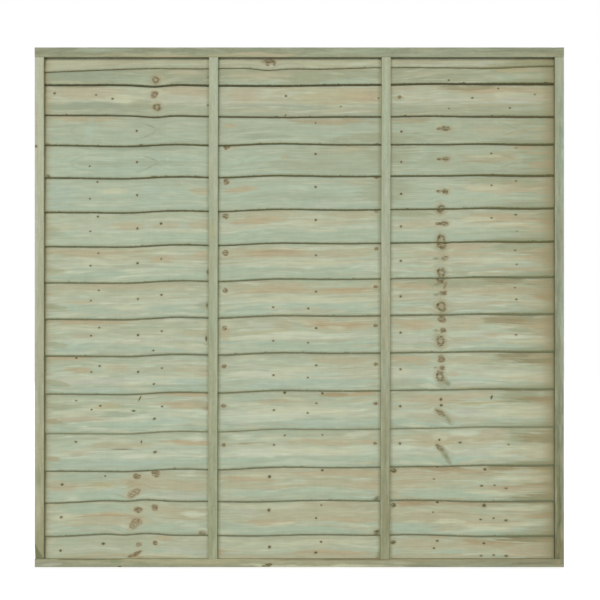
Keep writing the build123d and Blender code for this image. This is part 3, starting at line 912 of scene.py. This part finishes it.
def bark_and_shade_on_edge(tree, number, place, along, above, colour):
    """The very edge keeps a little dark bark, more of it in places and towards the right, with a band of
    painted shade on the slope just above it.
    """
    flakes = spread(tree, streaks(tree, place, 0.02, 0.02, number * 13), 0.6, 0.8, 0, 3 * mm)
    torn = streaks(tree, place, 8 * mm, 4 * mm, number * 29)
    torn = calculate(tree, "MULTIPLY_ADD", torn, 4 * mm, above)
    edge = calculate(tree, "SUBTRACT", torn, flakes)
    edge = calculate(tree, "SUBTRACT", edge, spread(tree, along, 1.45, 1.65, 0, 2.2 * mm))
    bark_and_shade_tone, bark_depth = bark_and_lap_shade[number - 1]
    # Painted shade: a soft moss-toned band over the sloped wane just above the bark
    shaded = spread(tree, edge, (bark_depth + 9) * mm, (bark_depth + 1.5) * mm, 0.0, 0.4)
    colour = blend(tree, shaded, colour, light_of(tones["moss"]))
    # Dark bark, deepened with painted shade of the lap line
    bark = spread(tree, edge, (bark_depth + 3.5) * mm, (bark_depth + 0.5) * mm, 0.0, 0.92)
    return blend(tree, bark, colour, light_of(bark_and_shade_tone))


def lap_wood(number):
    """The sawn face of one lap board, read off its own map of along and above."""
    material, tree, shader = new_material(f"lap_wood_{number:02d}")
    place = put(tree, "UVMap", {"uv_map": "along_and_above"}).outputs[0]
    along, above = put(tree, "SeparateXYZ", Vector=place).outputs[:2]
    depth = log_starts[number - 1] + number * log_step
    log_place = on_vectors(tree, "ADD", place, (0, 0, depth))
    sway = calculate(tree, "SUBTRACT", streaks(tree, log_place, 0.3, 0.09, 11), 0.5)
    swayed = calculate(tree, "MULTIPLY_ADD", sway, 2 * band_sway, above)
    stops = [(stop * mm, colour, 1.0) for stop, colour in board_bands[number - 1]]
    base = ramp(tree, swayed, stops, band_reach)["Color"]
    colour = wood_surface(
        tree, shader, place, base, board_strokes[number], knots_of(number), number * 17,
        warmth=warmths[number - 1], patchy=patchiness[number - 1], depth=depth,
    )
    colour = stains_and_upright_shade(tree, number, place, along, swayed, colour)
    colour = bark_and_shade_on_edge(tree, number, place, along, above, colour)
    tree.links.new(colour, shader.inputs["Base Color"])
    return material


def end_grain(name, colour, heart, seed):
    """The sawn end of a piece: growth rings round a heart that lies off the piece."""
    material, tree, shader = new_material(name)
    place = put(tree, "TexCoord").outputs["Object"]
    flat = on_vectors(tree, "MULTIPLY", on_vectors(tree, "SUBTRACT", place, heart), (0, 1, 1))
    wobble = put(tree, "TexNoise", Vector=place, Scale=60.0, Detail=2.0).outputs["Fac"]
    radius = calculate(tree, "MULTIPLY_ADD", wobble, 3 * mm, on_vectors(tree, "LENGTH", flat))
    ring = calculate(tree, "PINGPONG", radius, growth_ring)
    late = spread(tree, ring, *late_growth, 0.0, 0.6)
    pores = streaks(tree, place, 1.2 * mm, 1.2 * mm, seed)
    wood = blend(tree, late, light_of(colour), light_of([c * 0.72 for c in colour]))
    brightness = spread(tree, pores, 0.2, 0.8, 0.8, 1.15)
    wood = put(tree, "HueSaturation", Value=brightness, Color=wood).outputs[0]
    bump = put(tree, "Bump", Strength=0.5, Distance=0.4 * mm, Height=pores)
    tree.links.new(wood, shader.inputs["Base Color"])
    tree.links.new(spread(tree, pores, 0.2, 0.8, 0.8, 0.95), shader.inputs["Roughness"])
    tree.links.new(bump.outputs[0], shader.inputs["Normal"])
    return material


# The lap boards

def board_outline(name):
    """A lap board before its bark edge was sloped: the way it faces, its head and bark lines."""
    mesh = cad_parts[name].data
    facing = max(mesh.polygons, key=lambda face: -face.normal.y * face.area).normal.copy()
    depth = min(vertex.co @ facing for vertex in mesh.vertices)
    back = {tuple(vertex.co) for vertex in mesh.vertices if vertex.co @ facing - depth < 0.1 * mm}
    low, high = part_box(name)
    left_head = max((p for p in back if p[0] < low.x + end_zone), key=lambda p: p[2])
    right_head = max((p for p in back if p[0] > high.x - end_zone), key=lambda p: p[2])
    bark = [Vector(p) for p in sorted(back - {left_head, right_head})]
    forward = facing * board_thickness
    heads = (Vector(left_head) + forward, Vector(right_head) + forward)
    return facing, heads, [point + forward for point in bark]


def on_line(points, share):
    """The point of a line at a share of its width."""
    x = points[0].x + (points[-1].x - points[0].x) * share
    after = min(max(bisect_right([p.x for p in points], x), 1), len(points) - 1)
    before = points[after - 1]
    step = (x - before.x) / (points[after].x - before.x)
    return before.lerp(points[after], step)


def sharpen(bm, angle):
    """Smooth faces with crisp edges where the surface turns by more than an angle."""
    for face in bm.faces:
        face.smooth = True
    for edge in bm.edges:
        edge.smooth = edge.calc_face_angle(0) < angle


def finish_piece(bm, name, node, materials):
    """Makes a piece of a bmesh. It stands for its CAD node, if it has one."""
    mesh = bpy.data.meshes.new(name)
    bm.to_mesh(mesh)
    bm.free()
    for material in materials:
        mesh.materials.append(material)
    piece = bpy.data.objects.new(name, mesh)
    bpy.context.scene.collection.objects.link(piece)
    if node:
        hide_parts(node)
    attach(piece, "root")
    return piece


def bark_chip(x, number):
    """How deep the bark edge is chipped at a place along it."""
    chip = noise.noise(Vector((x / long_chip, number, 0)))
    chip += 0.5 * noise.noise(Vector((x / short_chip, number, 5)))
    return bark_chips * max(0, chip)


def above_bark(point, heads, bark, up):
    """How far a point of a board is above its bark line."""
    share = min(max((point.x - heads[0].x) / (heads[1].x - heads[0].x), 0), 1)
    return (point - on_line(bark, share)) @ up


def lap_board(number):
    """A lap board with a waney, chipped bark edge and a sawn face worn a little uneven."""
    node = f"board_{number:02d}"
    facing, heads, bark = board_outline(node)
    up = (heads[1] - heads[0]).normalized().cross(facing)
    up = up if up.z > 0 else -up
    bm = bmesh.new()
    bmesh.ops.create_grid(bm, x_segments=board_columns, y_segments=board_rows, size=0.5)
    for vertex in bm.verts:
        share = vertex.co.x + 0.5
        rise = (vertex.co.y + 0.5) ** row_crowding
        edge = on_line(bark, share)
        edge = edge + up * bark_chip(edge.x, number)
        vertex.co = edge.lerp(heads[0].lerp(heads[1], share), rise)
    front = bm.verts[:]
    bmesh.ops.extrude_face_region(bm, geom=bm.faces[:])
    back = [vertex for vertex in bm.verts if vertex not in set(front)]
    bmesh.ops.translate(bm, verts=back, vec=-facing * board_thickness)

    # Worn hollows in the face, and the slope where the bark was
    for vertex in front:
        above = above_bark(vertex.co, heads, bark, up)
        hollow = Vector((vertex.co.x / wear_length, above / wear_height, number * 3))
        worn = 0.5 + noise.noise(hollow)
        slope = max(0, 1 - above / wane_reach) ** 1.5
        ragged = 0.7 + 0.6 * noise.noise(Vector((vertex.co.x / wane_wave, number * 5, 1)))
        vertex.co -= facing * (plane_wear * max(0, worn) + wane_cut * slope * ragged)
    bmesh.ops.recalc_face_normals(bm, faces=bm.faces)
    uv_map = bm.loops.layers.uv.new("along_and_above")
    for face in bm.faces:
        face.material_index = int(abs(face.normal.x) > 0.8)
        for loop in face.loops:
            point = loop.vert.co
            loop[uv_map].uv = (point.x, above_bark(point, heads, bark, up))
    sharpen(bm, radians(40))
    heart = (heads[0] + heads[1]) / 2 + lap_heart
    ends = end_grain(f"lap_end_{number:02d}", tones["lap end"], heart, number)
    piece = finish_piece(bm, f"lap_board_{number:02d}", node, (lap_wood(number), ends))


for number in board_numbers:
    lap_board(number)

# The frame pieces: tones along the length from the left end or the foot, tones at the low
# and the high side of the face, and strokes and knots as on the boards
frame_looks = {
    "front_left_stile": {
        "bands": (
            (0, (142, 143, 106)), (85, (148, 148, 112)), (255, (157, 157, 123)), (430, (167, 165, 131)),
            (600, (156, 158, 128)), (775, (161, 164, 135)), (1120, (176, 181, 153)),
            (1290, (182, 188, 161)), (1733, (183, 190, 164)),
        ),
        "sides": (((182, 184, 172), 0.5), ((168, 170, 136), 0.6)),
        "sides_at_foot": 0.15,
        "strokes": (
            ("moss", 260, 330, -4, 22, 0.35), ("orange", 60, 240, 10, 24, 0.5),
            ("tan", 560, 760, 4, 20, 0.5), ("olive", 470, 640, 14, 34, 0.6),
            ("olive", 880, 1000, 16, 34, 0.4),
        ),
        "knots": (("pin", 1425, 5, 5, 4, 0),),
    },
    "front_batten_1": {
        "bands": (
            (0, (146, 154, 120)), (255, (149, 154, 122)), (600, (155, 163, 132)), (945, (156, 167, 138)),
            (1290, (163, 175, 149)), (1465, (167, 181, 156)), (1733, (170, 179, 153)),
        ),
        "sides": (((152, 155, 124), 0.55), ((166, 176, 148), 0.4)),
        "strokes": (
            ("ochre", 1060, 1180, 2, 22, 0.6), ("tan", 960, 1070, 4, 28, 0.4),
            ("sage", 700, 900, 14, 30, 0.5), ("tan", 430, 560, 2, 18, 0.4), ("moss", 40, 110, 6, 28, 0.25),
        ),
        "knots": (),
    },
    "front_batten_2": {
        "bands": (
            (0, (130, 130, 96)), (255, (138, 138, 105)), (430, (142, 146, 114)), (600, (142, 144, 114)),
            (775, (153, 158, 129)), (945, (161, 164, 136)), (1120, (166, 175, 150)),
            (1290, (165, 178, 153)), (1465, (165, 177, 149)), (1733, (166, 173, 145)),
        ),
        "sides": (((164, 168, 138), 0.4), ((156, 157, 132), 0.4)),
        "strokes": (
            ("teal", 560, 700, 6, 28, 0.4), ("sage", 900, 1010, 4, 24, 0.4), ("brown", 60, 260, 6, 26, 0.4),
            ("salmon", 700, 860, 4, 20, 0.3),
        ),
        "knots": (),
    },
    "front_right_stile": {
        "bands": (
            (0, (90, 90, 55)), (85, (92, 93, 58)), (255, (111, 112, 80)), (430, (110, 112, 82)),
            (600, (113, 120, 92)), (945, (123, 131, 108)), (1290, (137, 150, 126)), (1733, (150, 161, 137)),
        ),
        "sides": (((146, 148, 116), 0.4), ((160, 168, 152), 0.6)),
        "sides_at_foot": 0,
        "strokes": (
            ("sage", 1390, 1440, 14, 34, 0.8), ("teal", 760, 900, 8, 28, 0.35),
            ("brown", -20, 120, 0, 40, 0.4),
        ),
        "knots": (),
    },
    "front_top_rail": {
        "bands": (
            (0, (136, 140, 113)), (600, (138, 143, 115)), (1200, (140, 147, 120)), (1500, (142, 148, 120)),
            (1650, (134, 138, 110)), (1828, (130, 134, 106)),
        ),
        "sides": (((158, 159, 126), 0.5), ((132, 143, 121), 0.4)),
        "strokes": (
            ("salmon", 360, 560, -2, 14, 0.8), ("salmon", 640, 920, -2, 13, 0.8),
            ("ochre", 60, 1000, 0, 8, 0.5), ("shade", 1080, 1800, -2, 12, 0.5),
            ("sage", 950, 1230, 6, 28, 0.4), ("sage", 1315, 1440, 6, 28, 0.4),
            ("teal", 120, 340, 14, 32, 0.35),
        ),
        "knots": (),
    },
    "front_bottom_rail": {
        "bands": (
            (0, (147, 148, 124)), (110, (149, 152, 122)), (600, (153, 155, 124)), (1100, (154, 154, 124)),
            (1400, (134, 134, 107)), (1600, (122, 122, 96)), (1828, (114, 113, 88)),
        ),
        "sides": (((138, 141, 118), 0.5), ((158, 156, 120), 0.4)),
        "strokes": (
            ("moss", 270, 315, 4, 26, 0.5), ("rust", 1780, 1810, 2, 28, 0.4),
            ("ochre", 430, 800, 10, 24, 0.5), ("olive", 1300, 1700, 4, 20, 0.5),
            ("tan", 640, 1100, 14, 30, 0.4), ("ochre", 20, 900, 20, 29, 0.6), ("lilac", 10, 90, 2, 14, 0.6),
            ("shade", 1440, 1830, -4, 12, 0.4), ("cream", 640, 1280, -4, 10, 0.9),
            ("brown", 700, 1830, 21, 32, 0.7), ("split", 860, 1290, 24.5, 28.4, 0.6),
            ("split", 16, 330, 24.5, 28.4, 0.9),
        ),
        "knots": (("dark", 805, 8, 16, 5, 10), ("pin", 295, 3, 8, 3, 0)),
    },
}
rear_look = {
    "bands": (
        (0, (150, 154, 122)), (500, (158, 164, 134)), (1100, (163, 171, 144)), (1828, (158, 165, 138)),
    ),
    "sides": (((164, 168, 138), 0.3), ((152, 158, 130), 0.3)),
    "strokes": (
        ("tan", 300, 620, 4, 24, 0.4), ("sage", 900, 1300, 8, 28, 0.4), ("moss", 1380, 1450, 0, 20, 0.25),
    ),
    "knots": (("pin", 640, 21, 6, 5, 0), ("disc", 1290, 10, 9, 7, 0)),
}


def lies_flat(name):
    """Whether a frame piece is a rail, which runs along the panel, or an upright."""
    low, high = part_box(name)
    return high.x - low.x > high.z - low.z


def frame_wood(name, look, seed):
    """The sawn face of a frame piece, read off its place: along, across and deep."""
    material, tree, shader = new_material(name + "_wood")
    low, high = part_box(name)
    object_place = put(tree, "TexCoord").outputs["Object"]
    from_corner = put(tree, "SeparateXYZ", Vector=on_vectors(tree, "SUBTRACT", object_place, low)).outputs
    along, across = ("X", "Z") if lies_flat(name) else ("Z", "X")
    place = put(
        tree, "CombineXYZ", X=from_corner[along], Y=from_corner[across], Z=from_corner["Y"]
    ).outputs[0]
    width = min(high.x - low.x, high.z - low.z)
    stops = [(stop * mm, colour, 1.0) for stop, colour in look["bands"]]
    cloud = calculate(tree, "SUBTRACT", streaks(tree, place, 0.2, 0.02, seed), 0.5)
    swayed = calculate(tree, "MULTIPLY_ADD", cloud, 0.5, from_corner[along])
    base = ramp(tree, swayed, stops, frame_reach)["Color"]
    share = calculate(tree, "DIVIDE", from_corner[across], width)
    share = calculate(tree, "MULTIPLY_ADD", cloud, 0.5, share)

    # Each side of the face has a tone of its own, which some uprights lose towards the foot
    (low_tone, low_strength), (high_tone, high_strength) = look["sides"]
    kept = spread(tree, from_corner[along], *foot_fade, look.get("sides_at_foot", 1), 1)
    low_side = calculate(tree, "MULTIPLY", spread(tree, share, 0.55, 0.05, 0, low_strength), kept)
    high_side = calculate(tree, "MULTIPLY", spread(tree, share, 0.45, 0.95, 0, high_strength), kept)
    base = blend(tree, low_side, base, light_of(low_tone))
    base = blend(tree, high_side, base, light_of(high_tone))
    mottle = streaks(tree, place, 14 * mm, 6 * mm, seed + 2, 3.0)
    brightness = spread(tree, mottle, 0.25, 0.75, 0.93, 1.07)
    base = put(tree, "HueSaturation", Value=brightness, Color=base).outputs[0]
    wood_surface(
        tree, shader, place, base, look["strokes"], look["knots"], seed, frame_warmth, frame_patchiness,
    )
    return material


def frame_piece(name, look, seed):
    """A batten or rail as it left the saw: faces that wander slightly, and dented arrises."""
    bm = bmesh.new()
    bm.from_mesh(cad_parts[name].data)
    bmesh.ops.remove_doubles(bm, verts=bm.verts, dist=0.01 * mm)
    bmesh.ops.dissolve_limit(bm, angle_limit=radians(1), verts=bm.verts, edges=bm.edges)
    low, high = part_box(name)
    axis = 0 if lies_flat(name) else 2
    length = high[axis] - low[axis]
    direction = Vector([float(index == axis) for index in range(3)])
    cuts = round(length / cut_spacing)
    for cut in range(1, cuts):
        bmesh.ops.bisect_plane(
            bm, geom=bm.verts[:] + bm.edges[:] + bm.faces[:], dist=0.01 * mm,
            plane_co=low + direction * length * cut / cuts, plane_no=direction,
        )
    bmesh.ops.recalc_face_normals(bm, faces=bm.faces)
    bm.normal_update()
    for vertex in bm.verts:
        wander = 0.5 + noise.noise(vertex.co / wander_length + Vector((seed, 0, 0)))
        dent = noise.noise(vertex.co / dent_length + Vector((0, seed, 0)))
        dent = max(0, dent - dent_from) / (1 - dent_from)
        vertex.co -= vertex.normal * (saw_loss + saw_wander * max(0, wander) + dent_depth * dent)
    for face in bm.faces:
        across = abs(face.normal[axis])
        face.material_index = 1 if across > 0.8 else 2 if across > 0.05 else 0
    sharpen(bm, radians(30))
    heart = (low + high) / 2 + batten_heart
    ends = end_grain(name + "_end", tones["batten end"], heart, seed)
    materials = [frame_wood(name, look, seed), ends]
    if name == "front_left_stile":
        materials.append(end_grain("wane_facet", tones["wane"], heart, seed))
    piece = finish_piece(bm, "sawn_" + name, name, materials)


for seed, (name, look) in enumerate(frame_looks.items(), start=200):
    frame_piece(name, look, seed)
    frame_piece(name.replace("front", "rear"), rear_look, seed + 50)


# Nails through the rear frame, one to a lap at each upright and a row along each rail

def nail_places():
    """Where the nails go in, with the uprights' nails in line with the boards' laps."""
    board_heads = [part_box(f"board_{number:02d}")[1].z for number in board_numbers]
    for name in ("rear_left_stile", "rear_batten_1", "rear_batten_2", "rear_right_stile"):
        low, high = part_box(name)
        middle = (low.x + high.x) / 2
        for board_head in board_heads:
            height = board_head - nail_below_head
            if low.z + nail_margin < height < high.z - nail_margin:
                yield middle, height
    for name in ("rear_top_rail", "rear_bottom_rail"):
        low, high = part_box(name)
        for share in rail_nail_shares:
            yield low.x + (high.x - low.x) * share, (low.z + high.z) / 2


def nail_steel():
    """Galvanised steel, dulled and a little brown."""
    material, tree, shader = new_material("nail_steel")
    place = put(tree, "TexCoord").outputs["Object"]
    spots = put(tree, "TexNoise", Vector=place, Scale=900.0, Detail=3.0).outputs["Fac"]
    rusted = spread(tree, spots, 0.45, 0.7)
    rusty = blend(tree, rusted, light_of((150, 152, 150)), light_of((118, 98, 78)))
    shader.inputs["Metallic"].default_value = 0.7
    tree.links.new(rusty, shader.inputs["Base Color"])
    tree.links.new(spread(tree, spots, 0.3, 0.7, 0.4, 0.75), shader.inputs["Roughness"])
    return material


def rear_nails():
    """All nail heads as one piece, each a low disc with an eased rim."""
    source = random.Random(41)
    bm = bmesh.new()
    for x, z in nail_places():
        x += source.uniform(-3, 3) * mm
        z += source.uniform(-4, 4) * mm
        place = Vector((x, cad_high.y - nail_sunk, z))
        stand = Matrix.Translation(place) @ Matrix.Rotation(radians(-90), 4, "X")
        made = bmesh.ops.create_circle(
            bm, cap_ends=True, segments=nail_sides, radius=nail_head, matrix=stand,
        )["verts"]
        raised = bmesh.ops.extrude_face_region(bm, geom=[made[0].link_faces[0]])["geom"]
        rim = [item for item in raised if isinstance(item, bmesh.types.BMVert)]
        bmesh.ops.translate(bm, verts=rim, vec=(0, nail_sunk, 0))
        bmesh.ops.scale(bm, verts=rim, vec=(0.92, 1, 0.92), space=Matrix.Translation(-place))
    bmesh.ops.recalc_face_normals(bm, faces=bm.faces)
    finish_piece(bm, "rear_nails", None, (nail_steel(),))


rear_nails()


# Camera, light and floor

def front_camera():
    """The camera at the photograph's viewing angle, square to the front."""
    data = bpy.data.cameras.new("front_camera")
    data.sensor_width = sensor_width
    data.lens = sensor_width * camera_to_front / picture_width
    camera = bpy.data.objects.new("front_camera", data)
    camera.location = camera_place
    camera.rotation_euler = (radians(90), 0, 0)
    bpy.context.scene.collection.objects.link(camera)
    bpy.context.scene.camera = camera


def seen_straight(tree):
    """1 for what the camera sees, straight or through gloss and glass, and 0 for light."""
    path = tree.nodes.new("ShaderNodeLightPath").outputs
    glossy = calculate(tree, "MAXIMUM", path["Is Camera Ray"], path["Is Glossy Ray"])
    return calculate(tree, "MAXIMUM", glossy, path["Is Transmission Ray"])


def even_surround():
    """A white surround that gives even light."""
    world = bpy.data.worlds.new("even_surround")
    world.use_nodes = True
    tree = world.node_tree
    strength = calculate(tree, "MULTIPLY_ADD", seen_straight(tree), 1 - surround_light, surround_light)
    background = tree.nodes["Background"]
    background.inputs["Color"].default_value = (1, 1, 1, 1)
    tree.links.new(strength, background.inputs["Strength"])
    bpy.context.scene.world = world


def soft_lamp(name, turn):
    """One wide lamp, which in front draws a soft shadow under each lap."""
    data = bpy.data.lights.new(name, "SUN")
    data.energy = lamp_strength
    data.angle = radians(lamp_softness)
    lamp = bpy.data.objects.new(name, data)
    lamp.rotation_euler = (radians(90 - lamp_height), 0, radians(turn))
    bpy.context.scene.collection.objects.link(lamp)


def pale_floor():
    """A pale floor that looks white, apart from the panel's shadow."""
    material, tree, shader = new_material("pale_floor")
    path = tree.nodes.new("ShaderNodeLightPath").outputs
    glow = calculate(tree, "MULTIPLY", path["Is Camera Ray"], floor_lift)
    shader.inputs["Base Color"].default_value = (floor_grey, floor_grey, floor_grey, 1)
    shader.inputs["Roughness"].default_value = 1.0
    shader.inputs["Emission Color"].default_value = (1, 1, 1, 1)
    tree.links.new(glow, shader.inputs["Emission Strength"])
    bm = bmesh.new()
    level = Matrix.Translation((camera_place[0], 0, cad_low.z))
    bmesh.ops.create_grid(bm, x_segments=1, y_segments=1, size=floor_half, matrix=level)
    mesh = bpy.data.meshes.new("pale_floor")
    bm.to_mesh(mesh)
    bm.free()
    mesh.materials.append(material)
    floor = bpy.data.objects.new("pale_floor", mesh)
    bpy.context.scene.collection.objects.link(floor)


front_camera()
even_surround()
soft_lamp("front_lamp", lamp_aside)
soft_lamp("rear_lamp", lamp_aside + 180)
pale_floor()
bpy.context.scene.view_settings.view_transform = "Standard"
